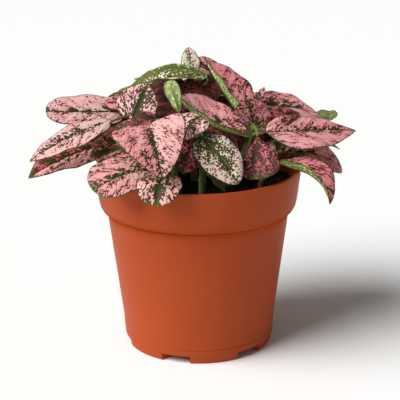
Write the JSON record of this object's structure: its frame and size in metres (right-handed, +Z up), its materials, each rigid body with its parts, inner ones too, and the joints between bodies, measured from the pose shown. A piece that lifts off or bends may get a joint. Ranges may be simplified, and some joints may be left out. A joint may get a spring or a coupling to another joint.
{
  "type": "potted polka dot plant",
  "caption": "Leafy house plant with pink, green-speckled leaves on short stems, growing in potting mix in a tapered plastic pot with a deep collar and drainage notches.",
  "frame": {"origin": "on the ground under the middle of the plant, on the pot's axis", "axes": "+Z up; -Y is the front, the side with the open patch of potting mix; +X to the right seen from the front"},
  "size_m": [0.1646, 0.1249, 0.1503],
  "materials": {
    "terracotta_plastic": "satin moulded polypropylene, terracotta coloured",
    "potting_mix": "dark, rough, crumbly peat mix",
    "leaf": "soft satin living leaf, pink with dark green flecks and pale green undersides"
  },
  "bodies": {
    "root": {"pot": "terracotta_plastic", "potting_mix": "potting_mix", "stem_front_left": "leaf", "stem_left": "leaf", "stem_middle": "leaf", "stem_right": "leaf", "stem_front": "leaf", "stem_front_right": "leaf", "stem_right_back": "leaf", "stem_left_back": "leaf", "stem_back_left": "leaf", "stem_back": "leaf", "stem_back_right": "leaf"}
  },
  "joints": []
}
